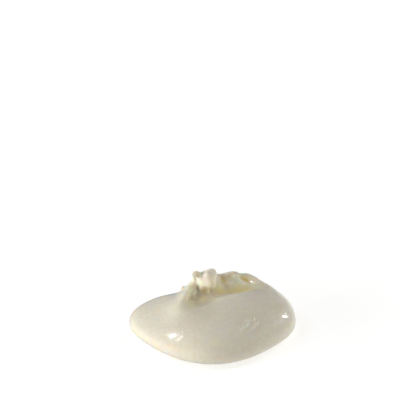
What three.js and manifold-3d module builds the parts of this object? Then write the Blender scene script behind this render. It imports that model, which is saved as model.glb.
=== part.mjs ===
// A burrata: a soft pouch of stretched curd that has been filled, gathered at the neck and pinched shut.
// It sags on a flat foot under its own weight, with a hollow in the crown beside the pinched knot.
// Millimetres, +Z up. +X is to the right and -Y to the front. The origin is the middle of the foot's box.
import * as THREE from "three";
import { LoftGeometry } from "three/addons/geometries/LoftGeometry.js";
import { mergeVertices } from "three/addons/utils/BufferGeometryUtils.js";
import Module from "manifold-3d";

// Driving dimensions
const WIDTH = 101; // left tip to right end
const FRONT_DEPTH = 47; // middle to the front edge
const BACK_DEPTH = 43; // middle to the back edge, towards the right
const BACK_LEFT_DEPTH = 21; // the same towards the left, where the pouch is drawn in
const WAIST = 6.5; // height of the widest line above the table
const CROWN_LEFT = 11.6; // rise of the crown above the waist towards the left end
const CROWN_RIGHT = 21; // the same towards the right end
const NECK = new THREE.Vector2(-6.8, 12.9); // where the skin is gathered, seen from above
const KNOT_TOP = 33.8; // height of the tallest lobe of the knot

// Plan outline: half a lens in front and half an oval behind. A lens of 1 is an ellipse, a higher one
// draws the two ends to a point and a lower one blunts them.
const FRONT_LENS = 1.5;
const BACK_LENS = 1;
const BACK_LEFT_LENS = 0.65;
const TIP_ROUNDING = 0.9; // share of the depth over which a round tip turns into its lens
const BACK_TURN = { from: -1, to: 0.8 }; // half-widths over which the left back turns into the right

// Upright section
const FOOT_SHARE = 0.78; // flat foot, as a share of the outline's size
const FOOT_POWER = 2.1; // above 2 the side is squarer than an ellipse
const DOME_POWER = 2.2; // above 2 the crown is flatter than an ellipse
const FOLD_START = { from: 0.25, to: 0.95 }; // shares of the rise over which the folds come in

// Mesh density
const SEGMENTS = 96;
const FOOT_RINGS = 9;
const CROWN_RINGS = 38;
const CROWDING = 1.4; // above 1 the rings stand closer towards the neck
const FOLD_STEPS = 60; // points along the line of a fold
const KNOT_SEGMENTS = 60;

const { degToRad, lerp, smoothstep } = THREE.MathUtils;
const FULL_TURN = 2 * Math.PI;

// Folds of the skin, each a stroke along a curve in plan. It lifts the skin by `height` at its line and
// fades over `width` to each side. `ends` are the shares of the height at its start and end.
const FOLDS = [
  // hollow beside the knot, and the valley that leads from it down the front
  { at: [[36.5, 19], [16, 17.5], [-3, 6]], height: -6.9, width: 8.4, ends: [0.15, 0.6] },
  { at: [[-4.5, 7.5], [-10, 4], [-14.5, -15]], height: -3.4, width: 6, ends: [1, 0] },
  // broad shoulder at the front left, which runs on from the left pleat
  { at: [[-23, 4], [-23, -8], [-17, -26]], height: 2.6, width: 9, ends: [0.4, 0.2] },
  // raised rim behind the hollow
  { at: [[-3, 27], [21.5, 35.5], [34.5, 18]], height: 6.4, width: 4.8, ends: [0.65, 0.45] },
  // dip where the shoulder at the left falls away from the neck
  { at: [[-31, 9], [-22, 14], [-15, 22]], height: -2.8, width: 8, ends: [0.3, 0.8] },
  // ridge of the left pleat
  { at: [[-9.5, 12.5], [-17.5, 7.25], [-21.5, -17]], height: 3.2, width: 4, ends: [1.4, 0] },
  // two pockets in the far wall of the hollow, and the pleat between them
  { at: [[6.5, 27], [7.5, 23.5], [8.5, 18]], height: -3.2, width: 2.8, ends: [0.6, 0.6] },
  { at: [[16, 29], [19.5, 27], [22.5, 23.5]], height: -2.8, width: 2.4, ends: [0.6, 0.6] },
  { at: [[14, 28], [15, 26], [19.5, 19.5]], height: 1.3, width: 1.6, ends: [0.5, 0.5] },
].map(({ at, ...sizes }) => {
  const [start, bend, end] = at.map(([x, y]) => new THREE.Vector2(x, y));
  return { line: new THREE.QuadraticBezierCurve(start, bend, end).getPoints(FOLD_STEPS), ...sizes };
});

// The skin flares up into the knot like the mouth of a trumpet, and fine pleats fan out from it.
const NECK_RISE = 7.6;
const NECK_RADIUS = 7;
const NECK_POWER = 1.2; // 2 is a bell, and lower is a sharper flare
const PLEATS = 13;
const PLEAT_DEPTH = 0.4;
const PLEAT_REACH = 12;

// A point of the plan outline, relative to the outline's middle.
function outline(turn) {
  const side = Math.sin(turn);
  const right = smoothstep(Math.cos(turn), BACK_TURN.from, BACK_TURN.to);
  const front = side < 0;
  const depth = front ? -FRONT_DEPTH : lerp(BACK_LEFT_DEPTH, BACK_DEPTH, right);
  const lens = front ? FRONT_LENS : lerp(BACK_LEFT_LENS, BACK_LENS, right);
  const share = Math.abs(side);
  const y = depth * share ** lerp(1, lens, smoothstep(share, 0, TIP_ROUNDING));
  return new THREE.Vector2((WIDTH / 2) * Math.cos(turn), y);
}

function foldHeight(fold, x, y) {
  let nearest = Infinity;
  let share = 0;
  fold.line.forEach((point, i) => {
    const distance = Math.hypot(point.x - x, point.y - y);
    if (distance < nearest) {
      nearest = distance;
      share = i / FOLD_STEPS;
    }
  });
  const [first, final] = fold.ends;
  const taper = share < 0.5
    ? lerp(first, 1, smoothstep(share, 0, 0.5))
    : lerp(1, final, smoothstep(share, 0.5, 1));
  return fold.height * taper * Math.exp(-((nearest / fold.width) ** 2));
}

function neckHeight(x, y) {
  const out = Math.hypot(x - NECK.x, y - NECK.y);
  const turn = Math.atan2(y - NECK.y, x - NECK.x);
  const flare = NECK_RISE * Math.exp(-((out / NECK_RADIUS) ** NECK_POWER));
  const fade = Math.exp(-(((out - NECK_RADIUS) / PLEAT_REACH) ** 2)) * smoothstep(out, 1, NECK_RADIUS);
  return flare + PLEAT_DEPTH * fade * Math.cos(PLEATS * turn);
}

// Height of the upper skin over a point of the plan, where `share` is 1 at the waist and 0 at the neck.
function crownHeight(x, y, share) {
  const dome = (1 - share ** DOME_POWER) ** (1 / DOME_POWER);
  const rise = lerp(CROWN_LEFT, CROWN_RIGHT, smoothstep(x, -WIDTH / 2, WIDTH / 2));
  const relief = neckHeight(x, y) + FOLDS.reduce((sum, fold) => sum + foldHeight(fold, x, y), 0);
  return WAIST + rise * dome + relief * smoothstep(dome, FOLD_START.from, FOLD_START.to);
}

// One ring of the pouch around a centre in plan, `share` of the outline's size.
function pouchRing(share, centre, heightAt) {
  return Array.from({ length: SEGMENTS }, (_, i) => {
    const { x, y } = outline((i / SEGMENTS) * FULL_TURN).multiplyScalar(share).add(centre);
    return new THREE.Vector3(x, y, heightAt(x, y));
  });
}

// From the foot's edge the side swells out to the waist.
function footRings() {
  return Array.from({ length: FOOT_RINGS }, (_, i) => {
    const lift = (i / FOOT_RINGS) * (Math.PI / 2);
    const share = FOOT_SHARE + (1 - FOOT_SHARE) * Math.sin(lift) ** (2 / FOOT_POWER);
    return pouchRing(share, new THREE.Vector2(), () => WAIST * (1 - Math.cos(lift) ** (2 / FOOT_POWER)));
  });
}

// Above the waist the rings shrink, and their centre slides from the middle to the neck.
function crownRings() {
  return Array.from({ length: CROWN_RINGS }, (_, i) => {
    const left = 1 - i / CROWN_RINGS;
    const angle = (Math.PI / 2) * (1 - left ** CROWDING);
    const share = Math.cos(angle) ** (2 / DOME_POWER);
    const centre = NECK.clone().multiplyScalar(1 - share);
    return pouchRing(share, centre, (x, y) => crownHeight(x, y, share));
  });
}

function pouch() {
  return new LoftGeometry([...footRings(), ...crownRings()], { capStart: true, capEnd: true });
}

// The knot is a short ruffle of skin that stands on the neck. In plan it is a star of lobes, each with a
// direction and a half-width in degrees, a reach from the neck's middle and a height.
const KNOT_ROOT = 13; // buried in the pouch
const KNOT_CORE = 4.5; // radius in the clefts between the lobes
const KNOT_DIP = 29.7; // height in the clefts and in the middle
const KNOT_TWIST = degToRad(12);
const LOBE_SQUARENESS = 3; // 2 is a bell, and higher has a flatter end
const LOBES = [
  { towards: 2, half: 34, reach: 9.4, top: KNOT_TOP }, // thick tab at the right, cut off flat
  { towards: -36, half: 36, reach: 7.4, top: KNOT_TOP - 0.5 }, // its broad front face
  { towards: -70, half: 34, reach: 6.4, top: KNOT_TOP - 3.2 }, // bulge below that face
  { towards: 172, half: 36, reach: 5.8, top: KNOT_TOP - 2.3 }, // thin ear at the left
  { towards: 72, half: 28, reach: 6.4, top: KNOT_TOP - 2.7 }, // two folds at the back
  { towards: 120, half: 22, reach: 6, top: KNOT_TOP - 3.2 },
];

// Steps up the outside of the ruffle: share of the lobe's height, and share of its reach.
const KNOT_SIDE = [
  [0, 0.8], [0.4, 0.8], [0.52, 0.88], [0.64, 1], [0.76, 1.05],
  [0.87, 1.04], [0.95, 0.99], [0.99, 0.9], [1, 0.75],
];
// Steps in over its top: share of the drop to the middle, and share of the reach.
const KNOT_INSIDE = [[0.06, 0.55], [0.3, 0.34], [1, 0.16]];
const KNOT_MIDDLE = { rise: 0.2, size: 0.08 }; // low mound in the middle

// The strongest lobe in a direction sets the ruffle's reach and height there.
function lobeAt(turn) {
  let reach = KNOT_CORE;
  let top = KNOT_DIP;
  for (const lobe of LOBES) {
    const apart = turn - degToRad(lobe.towards);
    const nearestWay = Math.atan2(Math.sin(apart), Math.cos(apart));
    const share = Math.exp(-(Math.abs(nearestWay / degToRad(lobe.half)) ** LOBE_SQUARENESS));
    reach = Math.max(reach, lerp(KNOT_CORE, lobe.reach, share));
    top = Math.max(top, lerp(KNOT_DIP, lobe.top, share));
  }
  return { reach, top };
}

// One ring of the ruffle, which is twisted more the lower it is.
function knotRing(size, rise, heightUnder) {
  return Array.from({ length: KNOT_SEGMENTS }, (_, i) => {
    const turn = (i / KNOT_SEGMENTS) * FULL_TURN;
    const { reach, top } = lobeAt(turn);
    const twisted = turn - KNOT_TWIST * (1 - rise);
    const x = NECK.x + reach * size * Math.cos(twisted);
    const y = NECK.y + reach * size * Math.sin(twisted);
    return new THREE.Vector3(x, y, heightUnder(top));
  });
}

function knot() {
  const side = KNOT_SIDE.map(([rise, size]) => knotRing(size, rise, (top) => lerp(KNOT_ROOT, top, rise)));
  const inside = KNOT_INSIDE.map(([drop, size]) => knotRing(size, 1, (top) => lerp(top, KNOT_DIP, drop)));
  const middle = knotRing(KNOT_MIDDLE.size, 1, () => KNOT_DIP + KNOT_MIDDLE.rise);
  return new LoftGeometry([...side, ...inside, middle], { capStart: true, capEnd: true });
}

const wasm = await Module();
wasm.setup();

const WELD = 1e-4; // points closer than this are one

function solid(geometry) {
  const bare = new THREE.BufferGeometry();
  bare.setAttribute("position", geometry.attributes.position);
  bare.setIndex(geometry.index);
  const closed = mergeVertices(bare, WELD);
  return new wasm.Manifold(new wasm.Mesh({
    numProp: 3,
    vertProperties: closed.attributes.position.array,
    triVerts: new Uint32Array(closed.index.array),
  }));
}

// The pouch and the knot are one piece of curd.
function fuse(geometries) {
  const joined = geometries.map(solid).reduce((whole, piece) => whole.add(piece));
  const { vertProperties, triVerts } = joined.getMesh();
  const geometry = new THREE.BufferGeometry();
  geometry.setAttribute("position", new THREE.BufferAttribute(vertProperties, 3));
  geometry.setIndex(new THREE.BufferAttribute(triVerts, 1));
  geometry.computeVertexNormals();
  return geometry;
}

// Stands the cheese on the table with the origin under the middle of its box.
function centreOnFoot(geometry) {
  geometry.computeBoundingBox();
  const middle = geometry.boundingBox.getCenter(new THREE.Vector3());
  return geometry.translate(-middle.x, -middle.y, -geometry.boundingBox.min.z);
}

const skin = new THREE.MeshStandardMaterial({ color: 0xeee6d2, roughness: 0.35, metalness: 0 });

const cheese = new THREE.Mesh(centreOnFoot(fuse([pouch(), knot()])), skin);
cheese.name = "burrata";

const burrata = new THREE.Group();
burrata.add(cheese);

export default burrata;
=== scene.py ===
import math

import bmesh
import bpy
import numpy as np
from mathutils import Matrix, Vector


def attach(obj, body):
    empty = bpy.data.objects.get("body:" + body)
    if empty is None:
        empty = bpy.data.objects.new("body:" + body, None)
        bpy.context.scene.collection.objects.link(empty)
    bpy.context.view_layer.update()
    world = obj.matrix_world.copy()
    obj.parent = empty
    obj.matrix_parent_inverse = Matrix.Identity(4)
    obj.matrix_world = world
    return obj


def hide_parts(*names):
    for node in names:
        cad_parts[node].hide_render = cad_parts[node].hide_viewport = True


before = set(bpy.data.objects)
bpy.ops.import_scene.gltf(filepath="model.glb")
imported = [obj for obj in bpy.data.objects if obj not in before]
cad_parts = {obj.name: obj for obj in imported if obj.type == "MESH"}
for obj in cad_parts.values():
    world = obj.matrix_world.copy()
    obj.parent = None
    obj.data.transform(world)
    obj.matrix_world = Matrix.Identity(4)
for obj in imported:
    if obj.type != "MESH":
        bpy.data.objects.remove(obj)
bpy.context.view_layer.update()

# The pouch
# A bag of curd that was stretched thin while hot, filled, gathered at the neck and pinched shut.
# It has nothing stiff in it, so it sags on its foot, and the skin beside the neck sinks into a hollow.
MM = 0.001
NECK = Vector((-6.8, 17.8, 0)) * MM  # middle of the gathered neck, seen from above
WELD = 0.01 * MM


def welded_copy(node, name):
    """A copy of a solid's mesh with its loose triangles joined, as a new object."""
    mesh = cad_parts[node].data.copy()
    work = bmesh.new()
    work.from_mesh(mesh)
    bmesh.ops.remove_doubles(work, verts=work.verts, dist=WELD)
    work.to_mesh(mesh)
    work.free()
    mesh.materials.clear()
    piece = bpy.data.objects.new(name, mesh)
    bpy.context.scene.collection.objects.link(piece)
    return piece


cheese = welded_copy("burrata", "cheese")

# The loose ends of skin at the knot
# Above the pinch the skin ends in torn edges: a lip round the ear at the left, a thick tab that swells at
# its foot and leans back to its top, a tag on the left pleat and a web beside it. Each is a leaf of curd.
LEAF_STEPS = 24
RAGGED = 0.7  # height of the tears in the free edges, in millimetres
RAGGED_WAVES = (3, 5, 8)  # tears along an edge
LEAVES = {  # rows of points from root to free edge, and a thickness, in millimetres
    "ear_lip": {
        "rows": [
            [(-10.6, 14.8, 27.0), (-11.8, 16.2, 27.0), (-11.6, 18.6, 27.0), (-9.4, 20.8, 27.0)],
            [(-11.1, 14.4, 28.3), (-12.1, 16.0, 29.1), (-11.6, 18.7, 29.6), (-9.3, 21.0, 29.2)],
            [(-10.7, 14.2, 29.6), (-11.7, 15.8, 31.0), (-11.0, 18.8, 31.8), (-8.5, 21.2, 31.2)],
        ],
        "thickness": 1.0,
    },
    "tab": {
        "rows": [
            [(-7.9, 14.1, 27.0), (-6.4, 12.7, 25.9), (-4.8, 11.7, 25.2), (-3.0, 10.9, 24.8),
             (-1.1, 10.7, 24.6), (0.7, 11.1, 24.2), (2.0, 13.2, 23.6)],
            [(-7.8, 14.3, 28.4), (-6.1, 12.7, 28.9), (-4.5, 11.5, 29.1), (-2.8, 10.6, 29.2),
             (-1.1, 10.2, 29.4), (0.7, 10.6, 29.1), (2.1, 12.8, 28.0)],
            [(-6.6, 14.8, 29.3), (-5.1, 13.8, 29.9), (-3.8, 13.2, 30.5), (-2.4, 13.2, 30.9),
             (-0.8, 13.4, 31.0), (0.8, 13.9, 30.8), (2.2, 15.2, 30.0)],
            [(-5.5, 16.8, 31.1), (-4.6, 17.6, 32.4), (-3.2, 18.0, 33.2), (-1.8, 18.2, 33.4),
             (-0.3, 18.2, 33.4), (1.2, 18.0, 33.7), (2.4, 17.6, 33.4)],
        ],
        "thickness": 1.8,
    },
    "left_tag": {
        "rows": [
            [(-19.6, 12.6, 19.0), (-18.4, 14.6, 20.0), (-16.6, 16.0, 21.0)],
            [(-20.0, 13.0, 20.4), (-18.9, 14.8, 22.4), (-17.0, 16.2, 22.3)],
            [(-19.9, 13.6, 21.4), (-18.9, 15.4, 24.4), (-16.8, 16.6, 23.2)],
        ],
        "thickness": 1.0,
    },
    "web": {
        "rows": [
            [(-13.5, 14.5, 25.0), (-11.5, 13.8, 25.0), (-9.5, 13.6, 25.0)],
            [(-14.2, 12.0, 23.2), (-12.4, 11.6, 22.4), (-10.2, 11.6, 22.6)],
            [(-15.0, 8.5, 21.6), (-13.2, 8.0, 20.8), (-11.0, 8.4, 20.4)],
        ],
        "thickness": 2.0,
    },
}


def smooth_line(points, steps):
    """Evenly many points of a smooth line through the given ones."""
    points = np.array(points, float)
    points = np.vstack([2 * points[0] - points[1], points, 2 * points[-1] - points[-2]])
    share = np.linspace(0, len(points) - 3, steps)
    span = np.minimum(share.astype(int), len(points) - 4)
    t = (share - span)[:, None]
    a, b, c, d = (points[span + k] for k in range(4))
    return 0.5 * (2 * b + (c - a) * t
                  + (2 * a - 5 * b + 4 * c - d) * t ** 2
                  + (3 * b - a - 3 * c + d) * t ** 3)


def leaf_of_skin(name, rows, thickness):
    """A curved leaf of skin through the lines that run across it, the last of them its ragged free edge."""
    lines = np.array([smooth_line(row, LEAF_STEPS) for row in rows])
    shares = np.linspace(0, 1, LEAF_STEPS)
    waves = [np.sin(2 * math.pi * count * shares + count ** 2) for count in RAGGED_WAVES]
    tears = sum(waves) / len(waves)
    outwards = lines[-1] - lines[-2]
    lines[-1] += (RAGGED * tears)[:, None] * outwards / np.linalg.norm(outwards, axis=1)[:, None]
    mesh = bpy.data.meshes.new(name)
    work = bmesh.new()
    columns = []
    for i in range(LEAF_STEPS):
        columns.append([work.verts.new(spot * MM) for spot in smooth_line(lines[:, i], LEAF_STEPS)])
    for left, right in zip(columns, columns[1:]):
        for i in range(LEAF_STEPS - 1):
            work.faces.new((left[i], right[i], right[i + 1], left[i + 1]))
    work.to_mesh(mesh)
    work.free()
    leaf = bpy.data.objects.new(name, mesh)
    bpy.context.scene.collection.objects.link(leaf)
    wall = leaf.modifiers.new("wall", "SOLIDIFY")
    wall.thickness = thickness * MM
    wall.offset = 0
    return leaf


def plain_mesh(piece):
    """The piece's mesh with its modifiers applied."""
    graph = bpy.context.evaluated_depsgraph_get()
    return bpy.data.meshes.new_from_object(piece.evaluated_get(graph))


def settle(piece):
    """Applies a piece's modifiers, so that only a plain mesh is left."""
    mesh = plain_mesh(piece)
    piece.modifiers.clear()
    old, piece.data = piece.data, mesh
    bpy.data.meshes.remove(old)


leaves = [leaf_of_skin(name, **sizes) for name, sizes in LEAVES.items()]

# One skin
# Pouch, neck and loose ends are one piece of curd, so they are run together into a single closed skin. The
# curd is soft, so every edge of it is rounded, least of all at the knot, where the skin has torn.
VOXEL = 0.47 * MM

work = bmesh.new()
work.from_mesh(cheese.data)
for leaf in leaves:
    mesh = plain_mesh(leaf)
    work.from_mesh(mesh)
    bpy.data.meshes.remove(mesh)
    bpy.data.objects.remove(leaf)
work.to_mesh(cheese.data)
work.free()
fuse = cheese.modifiers.new("run together", "REMESH")
fuse.mode = "VOXEL"
fuse.voxel_size = VOXEL
settle(cheese)


def add(tree, kind, inputs=None, **settings):
    """A new node with its settings made and its inputs linked or filled in."""
    made = tree.nodes.new(kind)
    for name, value in settings.items():
        setattr(made, name, value)
    for name, value in (inputs or {}).items():
        if isinstance(value, bpy.types.NodeSocket):
            tree.links.new(value, made.inputs[name])
        else:
            made.inputs[name].default_value = value
    return made


def calc(tree, operation, *values):
    """The result of a sum on numbers or sockets."""
    return add(tree, "ShaderNodeMath", dict(enumerate(values)), operation=operation).outputs[0]


def product(tree, first, *others):
    """All the values multiplied."""
    for other in others:
        first = calc(tree, "MULTIPLY", first, other)
    return first


def bell(tree, value, width):
    """1 where the value is 0, falling off over the width to both sides."""
    share = calc(tree, "DIVIDE", value, width)
    return calc(tree, "EXPONENT", product(tree, share, share, -1.0))


def vector_calc(tree, operation, *values):
    """The result of a sum on vectors or sockets: a number for a length or dot product, else a vector."""
    made = add(tree, "ShaderNodeVectorMath", dict(enumerate(values)), operation=operation)
    return made.outputs["Value" if operation in ("LENGTH", "DOT_PRODUCT", "DISTANCE") else "Vector"]


def scaled(tree, vector, factor):
    """The vector times a number."""
    return add(tree, "ShaderNodeVectorMath", {0: vector, "Scale": factor}, operation="SCALE").outputs[0]


def flat_apart(tree, place, middle):
    """How far a place lies from a middle point, seen from above, as a vector."""
    return vector_calc(tree, "SUBTRACT", vector_calc(tree, "MULTIPLY", place, (1, 1, 0)), middle)


def ease(tree, value, low, high, start=0.0, end=1.0):
    """A smooth step of a value from start to end."""
    span = {"Value": value, "From Min": low, "From Max": high, "To Min": start, "To Max": end}
    return add(tree, "ShaderNodeMapRange", span, interpolation_type="SMOOTHSTEP").outputs["Result"]


def blurred(tree, value, passes, **settings):
    """A vector of the skin's points, evened out with their neighbours."""
    inputs = {"Value": value, "Iterations": passes, **settings}
    return add(tree, "GeometryNodeBlurAttribute", inputs, data_type="FLOAT_VECTOR").outputs["Value"]


def moved(tree, geometry, **where):
    """The skin with its points moved to a position or by an offset."""
    return add(tree, "GeometryNodeSetPosition", {"Geometry": geometry, **where}).outputs[0]


def shape_tree(name, numbers, others):
    """A new shape tree, a mesh in and a mesh out, with named inputs: the tree and its inputs."""
    tree = bpy.data.node_groups.new(name, "GeometryNodeTree")
    tree.interface.new_socket("Geometry", in_out="INPUT", socket_type="NodeSocketGeometry")
    tree.interface.new_socket("Geometry", in_out="OUTPUT", socket_type="NodeSocketGeometry")
    kinds = {**others, **dict.fromkeys(numbers, "NodeSocketFloat"), "Material": "NodeSocketMaterial"}
    for size, kind in kinds.items():
        tree.interface.new_socket(size, in_out="INPUT", socket_type=kind)
    return tree, add(tree, "NodeGroupInput").outputs


def close_tree(tree, geometry, material):
    """Ends a shape tree: smooth shading, a plain mesh and its material."""
    smooth = add(tree, "GeometryNodeSetShadeSmooth", {"Geometry": geometry}).outputs[0]
    real = add(tree, "GeometryNodeRealizeInstances", {"Geometry": smooth}).outputs[0]
    dressed = add(tree, "GeometryNodeSetMaterial", {"Geometry": real, "Material": material}).outputs[0]
    add(tree, "NodeGroupOutput", {0: dressed})


def shape(piece, tree, sizes):
    """Puts a shape tree on a piece with its sizes set."""
    step = piece.modifiers.new(tree.name, "NODES")
    step.node_group = tree
    for socket in tree.interface.items_tree:
        if socket.in_out == "INPUT" and socket.name in sizes:
            step[socket.identifier] = sizes[socket.name]


curd = bpy.data.materials.new("curd_skin")

rounding, given = shape_tree(
    "Rounded edges",
    ("Knot inside", "Knot outside", "Knot foot", "Knot root"),
    {"Neck": "NodeSocketVector", "Passes": "NodeSocketInt", "Passes at the knot": "NodeSocketInt"},
)
place = add(rounding, "GeometryNodeInputPosition").outputs[0]
apart = vector_calc(rounding, "LENGTH", flat_apart(rounding, place, given["Neck"]))
height = add(rounding, "ShaderNodeSeparateXYZ", {0: place}).outputs["Z"]
beside = ease(rounding, apart, given["Knot inside"], given["Knot outside"])
below = ease(rounding, height, given["Knot root"], given["Knot foot"])
away = calc(rounding, "MAXIMUM", beside, below)
soft = moved(rounding, given["Geometry"], Position=blurred(rounding, place, given["Passes at the knot"]))
soft = moved(rounding, soft, Position=blurred(rounding, place, given["Passes"], Weight=away))
close_tree(rounding, soft, given["Material"])
shape(cheese, rounding, {
    "Neck": NECK, "Knot inside": 6.5 * MM, "Knot outside": 11 * MM, "Knot foot": 16 * MM,
    "Knot root": 20 * MM, "Passes": 25, "Passes at the knot": 2, "Material": curd,
})
settle(cheese)

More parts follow.
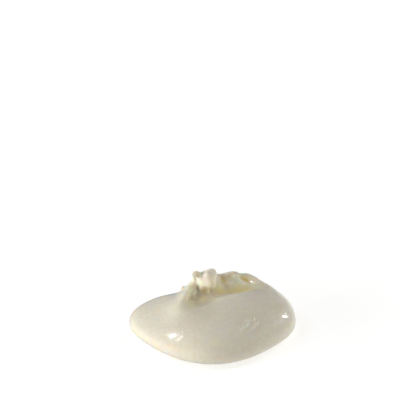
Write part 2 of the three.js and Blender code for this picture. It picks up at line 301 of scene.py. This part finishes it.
# Creases and pleats
# Where the skin was drawn in to the neck it lies in folds: sharp creases between the lobes of the knot, thin
# raised pleats down the front, a thin lip along the rim and pockets under it. A line can also mark the skin:
# coarser grain, painted light that makes shaded parts lighter, painted shade that makes parts greyer, and a
# yellow tint that is partly cream gathered in the hollow and partly painted shade in it and in pockets and
# grooves.
CREASE_STEPS = 40
# Of the marks, the yellow tint is partly cream and partly painted shade, the lighter one is painted light
# and the greyer one is painted shade.
CREASES = [  # each a line with its lift and width in millimetres, and how strongly it marks the skin
    # hollow beside the knot and the valley that leads out of it, tinted yellow: cream that gathers there and
    # painted shade
    {"line": [(29, 21.0, 19.6), (19, 21.0, 18), (9, 18.0, 18), (-2, 11.5, 19)],
     "width": 5.5, "cream": 0.8},
    {"line": [(-4, 12.0, 20), (-9, 9.0, 19), (-12.5, 0, 19.5), (-14.5, -8, 20)],
     "width": 5.5, "cream": 0.38},
    {"line": [(-9, 2.5, 20.2), (-2, 3.0, 21.3), (6, 6.0, 22)],
     "width": 5.0, "cream": 0.22},
    # mouth of the hollow, filled up at the knot's foot and worn down in front
    {"line": [(-8.5, 5.0, 19), (-10.0, -2.0, 19.8), (-11.5, -8.0, 20)],
     "lift": 0.5, "width": 4.0, "cream": 0.1},
    {"line": [(-10, 5.5, 18.2), (-6, 6.5, 18.2), (-1, 8.5, 18.8)],
     "lift": 1.5, "width": 3.4, "cream": 0.15},
    {"line": [(-10, -3.0, 20.5), (-4, -1.0, 21.2), (3, 2.0, 22.1)],
     "lift": -0.5, "width": 4.0},
    # cup of the ear, tinted yellow as painted shade, and the lip along its open side
    {"line": [(-8.4, 18.8, 31.0), (-8.1, 17.4, 30.4), (-7.8, 16.0, 30.0)],
     "lift": -1.4, "width": 1.1, "cream": 0.4},
    {"line": [(-10.8, 16.6, 30.9), (-9.5, 14.9, 29.8), (-8.0, 13.2, 29.8),
              (-6.6, 14.8, 30.2), (-6.5, 17, 30)],
     "lift": 0.7, "width": 0.6},
    # notch between the ear and the tab
    {"line": [(-6.6, 24.5, 30.0), (-6.4, 21.0, 31.4), (-6.0, 17.6, 32.0), (-6.0, 15.8, 31.2)],
     "lift": -2.2, "width": 1.3},
    # recess at the left of the tab's swollen foot
    {"line": [(-7.9, 12.6, 27.0), (-8.4, 12.4, 25.2), (-8.9, 12.2, 23.0)],
     "lift": -0.4, "width": 2.0},
    # groove under the tab's swollen foot, tinted yellow as painted shade
    {"line": [(-8.2, 12.6, 22.4), (-4.5, 12.2, 21.8), (-0.6, 13.8, 22.0)],
     "lift": -0.5, "width": 1.0, "cream": 0.4},
    # flare of the knot's foot into the pouch
    {"line": [(-9.5, 11.0, 20.6), (-5.0, 11.0, 19.6), (-0.5, 13.6, 19.6)],
     "lift": 2.4, "width": 2.8, "cream": 0.1},
    {"line": [(-12.0, 16.6, 28.6), (-13.0, 16.0, 26.4), (-14.8, 15.6, 24.0), (-17.2, 14.6, 22.2)],
     "lift": 0.6, "width": 1.7},
    # left pleat: its raised right edge, a strand and two grooves on it, the second tinted yellow as painted
    # shade
    {"line": [(-11.9, 14.7, 26.0), (-13.9, 10.7, 24.0), (-15.9, 5.6, 22.6),
              (-17.5, -0.5, 22.4), (-18.6, -3.6, 22.1)],
     "lift": 2.0, "width": 1.8},
    {"line": [(-12.2, 15.8, 27.5), (-14.4, 12.6, 24.8), (-16.4, 6.6, 23.2), (-18.4, -1.0, 22.6)],
     "lift": 0.35, "width": 0.6},
    {"line": [(-13.4, 15.8, 26.0), (-16.2, 11.6, 24.0), (-18.4, 6.0, 23.6)],
     "lift": -0.35, "width": 0.6},
    {"line": [(-12.6, 14.4, 25.9), (-13.4, 13.2, 25.1), (-14.2, 12.0, 24.4)],
     "lift": -0.4, "width": 0.8, "cream": 0.5},
    # stretched skin that the left pleat runs out into, made lighter as painted light
    {"line": [(-18.0, -2.0, 22.3), (-20.5, -9.0, 20.9), (-22.0, -16.0, 18.8)],
     "width": 5.0, "pale": 0.4},
    # gathers down the right side of the knot
    {"line": [(2.2, 15.6, 27.6), (2.4, 15.8, 24.6), (3.6, 16.4, 21.6)],
     "lift": -0.7, "width": 0.8},
    {"line": [(2.8, 18.2, 28.6), (3.2, 18.6, 25.0), (4.8, 19.6, 21.8)],
     "lift": -0.8, "width": 0.9},
    {"line": [(1.8, 21.0, 28.6), (2.6, 22.2, 25.0), (4.6, 24.4, 22.0)],
     "lift": -0.8, "width": 0.9},
    # lip of the rim, and the nick at its right end
    {"line": [(5.9, 32.2, 23.0), (14.1, 32.2, 24.8), (20.4, 33.4, 23.3), (24.7, 31.5, 22.9),
              (28.3, 28.6, 22.0), (31.2, 24.2, 21.4), (32.6, 21.2, 21.5)],
     "lift": 0.9, "width": 0.8},
    {"line": [(31.6, 20.4, 21.3), (33.6, 19.4, 21.2), (35.6, 18.2, 20.6)],
     "lift": -0.5, "width": 0.7},
    # yellow tint in the corner between the tab and the hollow: cream and painted shade
    {"line": [(3.5, 16.0, 24.5), (4.5, 19.0, 23.0), (6.0, 24.0, 21.5)],
     "width": 3.0, "cream": 0.45},
    # pockets in the far wall of the hollow, tinted yellow as painted shade, and the lump and the pleat
    # between them, less yellow and lighter as painted light
    {"line": [(7.0, 31.4, 22.4), (6.4, 29.4, 20.7), (7.6, 26.0, 19.0)],
     "lift": -0.9, "width": 2.2, "cream": 0.8},
    {"line": [(9.5, 31.4, 23.0), (10.5, 30.0, 21.8), (12.0, 29.0, 21.6)],
     "lift": -0.5, "width": 1.5, "cream": 0.3},
    {"line": [(16.2, 30.6, 23.4), (18.4, 29.9, 22.0), (20.4, 29.5, 21.3), (23.6, 27.6, 20.3)],
     "lift": -0.9, "width": 1.5, "cream": 0.9},
    {"line": [(8.9, 27.2, 19.2), (10.6, 26.6, 19.8), (12.6, 24.8, 19.1)],
     "lift": 1.2, "width": 1.8, "cream": -0.4},
    {"line": [(12.6, 31.0, 24.4), (14.3, 29.3, 23.2), (15.6, 28.2, 22.4),
              (16.9, 27.2, 21.5), (18.8, 26.2, 20.1)],
     "lift": 1.8, "width": 0.9, "cream": -0.8, "pale": 0.6},
    # crest between the hollow and the front
    {"line": [(0.9, 0.6, 21.6), (6.9, 2.0, 22.7), (14.4, 4.2, 23.2),
              (19.5, 8.2, 22.9), (24.0, 13.0, 21.8), (29.0, 17.4, 21.0)],
     "lift": 0.4, "width": 2.4},
    # skin that bridges the corner between the web and the tab, made lighter as painted light
    {"line": [(-10.0, 9.6, 21.4), (-10.4, 8.0, 20.4), (-10.8, 5.0, 19.0)],
     "lift": 0.8, "width": 2.2, "cream": -0.15, "pale": 0.5},
    {"line": [(-11.6, 11.6, 25.0), (-11.4, 10.4, 23.4), (-10.8, 8.6, 21.6)],
     "width": 3.2, "cream": -0.2, "pale": 0.9},
    # thin pleats down the front, with painted light along them
    {"line": [(-9.5, 12.2, 22.1), (-10.8, 9.3, 21.7), (-12.5, 7.7, 21.5),
              (-14.6, 3.9, 22.5), (-16.3, -2.4, 21.8)],
     "lift": 0.7, "width": 0.6, "pale": 0.8},
    {"line": [(-11.9, 11.0, 24.3), (-13.4, 8.1, 23.7), (-14.9, 4.6, 23.9), (-16.7, -0.2, 23.5)],
     "lift": 0.5, "width": 0.6, "pale": 0.6},
    {"line": [(-4.7, 11.4, 20.8), (-2.8, 12.1, 21.8), (-1.5, 14.2, 21.4)],
     "lift": 0.7, "width": 0.6, "pale": 0.9},
    # painted light: the knot, the tab's right side, the left pleat and the far wall of the hollow made
    # lighter
    {"line": [(-6.8, 17.8, 24), (-6.0, 17.0, 28), (-5.0, 17.0, 33)],
     "width": 8.0, "pale": 0.7},
    {"line": [(0.5, 14.6, 32), (0.8, 14.6, 29), (0.6, 14.4, 25)],
     "width": 2.8, "pale": 0.8},
    {"line": [(-11.5, 15.5, 27), (-14.5, 11.0, 24.5), (-17.0, 4.0, 23.0), (-18.5, -3.0, 22.4)],
     "width": 2.4, "pale": 0.9},
    {"line": [(9, 28, 21), (17, 29, 23), (25, 28, 22), (31, 24, 21.5)],
     "width": 4.0, "pale": 0.7},
    {"line": [(10, 26.5, 19.5), (17, 26, 20), (25, 25, 20)],
     "width": 2.6, "pale": 0.8, "cream": -0.1},
    # painted shade: places made greyer in front of the knot, across the front and at the right end
    {"line": [(-5.5, 6.0, 19.2), (-4.5, 0, 20.6), (-4.0, -8.0, 21.0)],
     "width": 7.0, "thin": 0.6},
    {"line": [(-7.0, -6.0, 20.9), (-4.0, -14.0, 20.2), (1.0, -18.0, 19.5)],
     "width": 8.0, "thin": 0.3},
    {"line": [(38.0, 3.0, 20.0), (42.4, -4.6, 16.7), (43.7, -9.3, 13.8)],
     "width": 7.0, "thin": 0.35},
    {"line": [(14.0, -19.0, 19.6), (23.0, -21.0, 18.4), (32.0, -18.0, 17.6)],
     "width": 7.0, "thin": 0.2},
    # places where the skin is coarse
    {"line": [(-19, -29.5, 12.5), (-20, -29, 13.5), (-21, -28.5, 14.5)],
     "width": 7.0, "coarse": 2.0},
    {"line": [(6, -22, 18.5), (18, -23, 17.5), (32, -20, 17)],
     "width": 9.0, "coarse": 1.2},
    {"line": [(41, -10, 15), (43, -7, 16), (44, -3, 16.5)],
     "width": 6.0, "coarse": 1.0},
]

MARKS = ("cream", "pale", "thin", "coarse")
creasing, given = shape_tree(
    "Crease",
    ("Lift", "Width", *(mark.capitalize() for mark in MARKS), "Share at the ends", "Run-out"),
    {"Line": "NodeSocketObject"},
)
drawn = add(creasing, "GeometryNodeObjectInfo", {"Object": given["Line"]}, transform_space="RELATIVE")
along = add(creasing, "GeometryNodeSplineParameter").outputs["Factor"]
measured = add(creasing, "GeometryNodeCaptureAttribute", {"Geometry": drawn.outputs["Geometry"]})
measured.capture_items.new("FLOAT", "Along")
creasing.links.new(along, measured.inputs["Along"])
stops = {"Curve": measured.outputs["Geometry"]}
stops = add(creasing, "GeometryNodeCurveToPoints", stops, mode="EVALUATED").outputs["Points"]
place = add(creasing, "GeometryNodeInputPosition").outputs[0]
near = add(creasing, "GeometryNodeSampleNearest", {"Geometry": stops, "Sample Position": place})


def at_nearest_stop(value, data_type):
    """A value of the crease's line, read at the point of it that is nearest to the skin's."""
    inputs = {"Geometry": stops, "Value": value, "Index": near.outputs["Index"]}
    return add(creasing, "GeometryNodeSampleIndex", inputs, data_type=data_type).outputs["Value"]


share = at_nearest_stop(measured.outputs["Along"], "FLOAT")
off = vector_calc(creasing, "DISTANCE", place, at_nearest_stop(place, "FLOAT_VECTOR"))
rest = calc(creasing, "SUBTRACT", 1.0, share)
taper = ease(creasing, calc(creasing, "MINIMUM", share, rest), 0.0, given["Run-out"],
             given["Share at the ends"], 1.0)
strength = calc(creasing, "MULTIPLY", bell(creasing, off, given["Width"]), taper)
marked = given["Geometry"]
for mark in MARKS:
    before = add(creasing, "GeometryNodeInputNamedAttribute", {"Name": mark}, data_type="FLOAT").outputs[0]
    after = calc(creasing, "MULTIPLY_ADD", strength, given[mark.capitalize()], before)
    marked = add(creasing, "GeometryNodeStoreNamedAttribute",
                 {"Geometry": marked, "Name": mark, "Value": after}, data_type="FLOAT").outputs[0]
normal = add(creasing, "GeometryNodeInputNormal").outputs[0]
push = calc(creasing, "MULTIPLY", strength, given["Lift"])
bent = moved(creasing, marked, Offset=scaled(creasing, normal, push))
close_tree(creasing, bent, given["Material"])

lines = []
for crease in CREASES:
    curve = bpy.data.curves.new("crease_line", "CURVE")
    curve.dimensions = "3D"
    spline = curve.splines.new("POLY")
    spline.points.add(CREASE_STEPS - 1)
    for point, spot in zip(spline.points, smooth_line(crease["line"], CREASE_STEPS)):
        point.co = (*(spot * MM), 1)
    line = bpy.data.objects.new("crease_line", curve)
    bpy.context.scene.collection.objects.link(line)
    lines.append(line)
    shape(cheese, creasing, {
        "Line": line, "Lift": crease.get("lift", 0) * MM, "Width": crease["width"] * MM,
        **{mark.capitalize(): float(crease.get(mark, 0)) for mark in MARKS},
        "Share at the ends": 0.2, "Run-out": 0.3, "Material": curd,
    })
settle(cheese)
for line in lines:
    bpy.data.objects.remove(line)

# The skin of the curd
# Wet, ivory and slightly see-through. Stretching has left it grained: fine wrinkles run out from the neck,
# and low bumps a millimetre or two wide catch the light in patches. It is tinted yellow in the hollow,
# partly as cream and partly as painted shade, and it is lighter in painted light and greyer in painted shade
# where lines mark it.
skinning, given = shape_tree(
    "Wrinkles and grain",
    ("Wrinkle depth", "Wrinkle start", "Wrinkle reach", "Wrinkle spread", "Wrinkle run", "Grain size",
     "Fine grain depth", "Coarse grain depth", "Foot edge", "Seed"),
    {"Neck": "NodeSocketVector"},
)
place = add(skinning, "GeometryNodeInputPosition").outputs[0]
normal = add(skinning, "GeometryNodeInputNormal").outputs[0]


def noise(vector, detail):
    """Seeded noise over the skin, about -0.5 to 0.5."""
    inputs = {"Vector": vector, "W": given["Seed"], "Scale": 1.0, "Detail": detail}
    made = add(skinning, "ShaderNodeTexNoise", inputs, noise_dimensions="4D").outputs[0]
    return calc(skinning, "SUBTRACT", made, 0.5)


from_neck = flat_apart(skinning, place, given["Neck"])
out = vector_calc(skinning, "LENGTH", from_neck)
heading = scaled(skinning, vector_calc(skinning, "NORMALIZE", from_neck), given["Wrinkle spread"])
run = calc(skinning, "DIVIDE", out, given["Wrinkle run"])
run = add(skinning, "ShaderNodeCombineXYZ", {"Z": run}).outputs[0]
folds = noise(vector_calc(skinning, "ADD", heading, run), detail=2.0)
fade = bell(skinning, out, given["Wrinkle reach"])
start = ease(skinning, out, 0.0, given["Wrinkle start"])
wrinkle = product(skinning, folds, fade, start, given["Wrinkle depth"])
bumps = noise(vector_calc(skinning, "DIVIDE", place, given["Grain size"]), detail=1.0)
coarse = add(skinning, "GeometryNodeInputNamedAttribute", {"Name": "coarse"}, data_type="FLOAT").outputs[0]
depth = calc(skinning, "MULTIPLY_ADD", coarse, given["Coarse grain depth"], given["Fine grain depth"])
grain = product(skinning, bumps, depth)
height = add(skinning, "ShaderNodeSeparateXYZ", {0: place}).outputs["Z"]
off_foot = ease(skinning, height, 0.0, given["Foot edge"])
lift = calc(skinning, "MULTIPLY", calc(skinning, "ADD", wrinkle, grain), off_foot)
grained = moved(skinning, given["Geometry"], Offset=scaled(skinning, normal, lift))
close_tree(skinning, grained, given["Material"])
shape(cheese, skinning, {
    "Neck": NECK, "Wrinkle depth": 1.8 * MM, "Wrinkle start": 9 * MM, "Wrinkle reach": 13 * MM,
    "Wrinkle spread": 6.5, "Wrinkle run": 16 * MM, "Grain size": 1.6 * MM, "Fine grain depth": 0.12 * MM,
    "Coarse grain depth": 0.4 * MM, "Foot edge": 3 * MM, "Seed": 3.0, "Material": curd,
})
settle(cheese)

IVORY = (0.80, 0.745, 0.61, 1)
SPECKLED = (0.85, 0.795, 0.665, 1)
# painted light: a lighter tint that brightens the knot, the pleats and the far wall of the hollow
PAINTED_LIGHT = (0.97, 0.905, 0.735, 1)
# a yellow tint, partly cream gathered in the hollow and partly painted shade in hollows, pockets and grooves
CREAM_AND_SHADE = (0.92, 0.78, 0.34, 1)
# painted shade: a greyer tint in front of the knot, across the front and at the right end
PAINTED_SHADE = (0.62, 0.57, 0.45, 1)
SPECKLES, GLOSS_PATCHES, PORES = 450.0, 220.0, 1100.0  # in a metre
SPECKLE_DETAIL, PORE_DETAIL = 3.0, 2.0
SPECKLE_SPAN = (0.3, 0.7)  # of the noise, from bare skin to a full speckle
ROUGHNESS = (0.3, 0.48)
PORE_STRENGTH, PORE_DEPTH = 0.35, 0.08 * MM
WET_CURD = {
    "Subsurface Weight": 1.0, "Subsurface Radius": (1.0, 0.8, 0.5), "Subsurface Scale": 2.2 * MM,
    "Specular IOR Level": 0.1, "Coat Weight": 0.8, "Coat Roughness": 0.08, "Coat IOR": 1.4,
}
curd.use_nodes = True
tree = curd.node_tree
shader = tree.nodes["Principled BSDF"]
coords = add(tree, "ShaderNodeTexCoord").outputs["Object"]


def speckle(scale, start=0.0, end=1.0):
    """Soft spots over the skin, with values from start to end."""
    inputs = {"Vector": coords, "Scale": scale, "Detail": SPECKLE_DETAIL}
    spots = add(tree, "ShaderNodeTexNoise", inputs).outputs[0]
    return ease(tree, spots, *SPECKLE_SPAN, start, end)


def mixed(share, first, second):
    """A blend of two colours."""
    blend = {"Factor": share, "A": first, "B": second}
    return add(tree, "ShaderNodeMix", blend, data_type="RGBA").outputs["Result"]


def fill_in(finish, values):
    """Sets the values on a shader's own sockets."""
    for name, value in values.items():
        finish.inputs[name].default_value = value


colour = mixed(speckle(SPECKLES), IVORY, SPECKLED)
# lays the painted light, the yellow tint of cream and painted shade, and the painted shade over the ivory
for mark, tint in (("pale", PAINTED_LIGHT), ("cream", CREAM_AND_SHADE), ("thin", PAINTED_SHADE)):
    strength = add(tree, "ShaderNodeAttribute", attribute_name=mark).outputs["Fac"]
    colour = mixed(strength, colour, tint)
tree.links.new(colour, shader.inputs["Base Color"])
tree.links.new(speckle(GLOSS_PATCHES, *ROUGHNESS), shader.inputs["Roughness"])
pores = {"Vector": coords, "Scale": PORES, "Detail": PORE_DETAIL}
pores = add(tree, "ShaderNodeTexNoise", pores).outputs[0]
relief = {"Height": pores, "Strength": PORE_STRENGTH, "Distance": PORE_DEPTH}
tree.links.new(add(tree, "ShaderNodeBump", relief).outputs[0], shader.inputs["Normal"])
fill_in(shader, WET_CURD)

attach(cheese, "root")
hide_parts("burrata")

# The table
# A round white top that bends up into a wall, so that no edge of it shows. It glows, and more so away from
# the cheese, where the lamps light it less, so that it is white to its end.
TABLE_RADIUS, COVE_RADIUS, WALL = 1.4, 0.8, 1.8
TABLE_SEGMENTS, COVE_SEGMENTS = 96, 24
WHITE_TOP = {"Base Color": (0.9, 0.9, 0.89, 1), "Roughness": 0.6, "Emission Color": (1, 1, 1, 1)}
GLOW_NEAR, GLOW_FAR = 0.48, 0.98
NEAR, FAR = 0.2, 0.6  # where the glow starts to rise and where it is full, in metres from the cheese
bends = np.linspace(0, math.pi / 2, COVE_SEGMENTS)
profile = [(TABLE_RADIUS + COVE_RADIUS * math.sin(b), COVE_RADIUS * (1 - math.cos(b))) for b in bends]
profile.append((profile[-1][0], WALL))
work = bmesh.new()
turns = [2 * math.pi * i / TABLE_SEGMENTS for i in range(TABLE_SEGMENTS)]
rings = [[work.verts.new((r * math.cos(t), r * math.sin(t), z)) for t in turns] for r, z in profile]
work.faces.new(rings[0])
for inner, outer in zip(rings, rings[1:]):
    for i in range(TABLE_SEGMENTS):
        work.faces.new((inner[i - 1], outer[i - 1], outer[i], inner[i]))
for face in work.faces:
    face.smooth = True
table_mesh = bpy.data.meshes.new("table")
work.to_mesh(table_mesh)
work.free()
table = bpy.data.objects.new("table", table_mesh)
bpy.context.scene.collection.objects.link(table)
white = bpy.data.materials.new("white_top")
white.use_nodes = True
tree = white.node_tree
top = tree.nodes["Principled BSDF"]
fill_in(top, WHITE_TOP)
away = vector_calc(tree, "LENGTH", add(tree, "ShaderNodeNewGeometry").outputs["Position"])
tree.links.new(ease(tree, away, NEAR, FAR, GLOW_NEAR, GLOW_FAR), top.inputs["Emission Strength"])
table_mesh.materials.append(white)
table.visible_diffuse = False
table.visible_glossy = False

# The lamps and the room
# Broad soft lamps shape the cheese, the strongest of them low at the left, and the wet skin mirrors small
# lamps that do nothing else. The room adds light, weakest from above and strongest from below at the right.
LAMP_DISTANCE = 0.8
SOFT_LAMPS = {  # degrees, metres and watts
    "window_left": {"azimuth": -68, "elevation": 5, "width": 0.9, "height": 0.3, "watts": 8.0},
    "window_right": {"azimuth": 95, "elevation": 4, "width": 0.9, "height": 0.3, "watts": 2.0},
    "ceiling_left": {"azimuth": -80, "elevation": 52, "width": 0.3, "height": 0.3, "watts": 0.9},
    "ceiling_right": {"azimuth": 117, "elevation": 42, "width": 0.3, "height": 0.3, "watts": 1.2},
}
GLINT_LAMPS = {
    "glint_left": {"azimuth": -115, "elevation": 55, "width": 0.1, "height": 0.1, "watts": 1.6},
    "glint_right": {"azimuth": 121, "elevation": 26, "width": 0.12, "height": 0.12, "watts": 2.2},
    "glint_high": {"azimuth": 135, "elevation": 60, "width": 0.1, "height": 0.1, "watts": 0.25},
}


def lamp(name, azimuth, elevation, width, height, watts):
    """A flat lamp that faces the cheese. Azimuth 0 is at the front and 90 at the right."""
    a, e = math.radians(azimuth), math.radians(elevation)
    towards = Vector((math.sin(a) * math.cos(e), -math.cos(a) * math.cos(e), math.sin(e)))
    light = bpy.data.lights.new(name, "AREA")
    light.shape = "RECTANGLE"
    light.size = width
    light.size_y = height
    light.energy = watts
    made = bpy.data.objects.new(name, light)
    made.location = towards * LAMP_DISTANCE
    made.rotation_euler = towards.to_track_quat("Z", "Y").to_euler()
    bpy.context.scene.collection.objects.link(made)
    return made


for name, values in SOFT_LAMPS.items():
    lamp(name, **values).visible_glossy = False
for name, values in GLINT_LAMPS.items():
    lamp(name, **values).visible_diffuse = False

FROM_ABOVE, FROM_BELOW_LEFT, FROM_BELOW_RIGHT = 0.27, 0.36, 0.88  # strength of the room's light
HORIZON, SIDES = 0.1, 0.5  # reach of the blends between them
sky = bpy.data.worlds.new("room")
bpy.context.scene.world = sky
sky.use_nodes = True
room = sky.node_tree
heading = add(room, "ShaderNodeTexCoord").outputs["Generated"]
heading = add(room, "ShaderNodeSeparateXYZ", {0: heading}).outputs
from_below = ease(room, heading["X"], -SIDES, SIDES, FROM_BELOW_LEFT, FROM_BELOW_RIGHT)
strength = ease(room, heading["Z"], -HORIZON, HORIZON, from_below, FROM_ABOVE)
room.links.new(strength, room.nodes["Background"].inputs["Strength"])
room.nodes["Background"].inputs["Color"].default_value = (1, 1, 1, 1)

# The camera
# It looks down on the cheese from the front. The middle of the pouch is below and right of the picture's
# middle, so the camera is turned away from it by as much.
PICTURE = 400  # pixels each way
LENS, SENSOR = 85, 36  # millimetres
MIDDLE = Vector((0, 4.9, 6.5)) * MM  # of the pouch
MIDDLE_PIXEL = (212.5, 319.2)
DOWNWARDS = math.radians(29)
PIXEL = 0.611 * MM  # size of a pixel at the cheese
focal = PICTURE * LENS / SENSOR
back = Vector((0, -math.cos(DOWNWARDS), math.sin(DOWNWARDS)))
right, down = (p - PICTURE / 2 for p in MIDDLE_PIXEL)
aim = (-back).to_track_quat("-Z", "Y").to_matrix()
tilt = Matrix.Rotation(math.atan(down / focal), 3, "X")
turn = Matrix.Rotation(math.atan(right / focal), 3, "Y")
aim = aim @ tilt @ turn
camera = bpy.data.objects.new("camera", bpy.data.cameras.new("camera"))
camera.data.lens = LENS
camera.data.sensor_width = SENSOR
camera.matrix_world = Matrix.Translation(MIDDLE + back * focal * PIXEL) @ aim.to_4x4()
bpy.context.scene.collection.objects.link(camera)
bpy.context.scene.camera = camera
bpy.context.scene.view_settings.view_transform = "Standard"
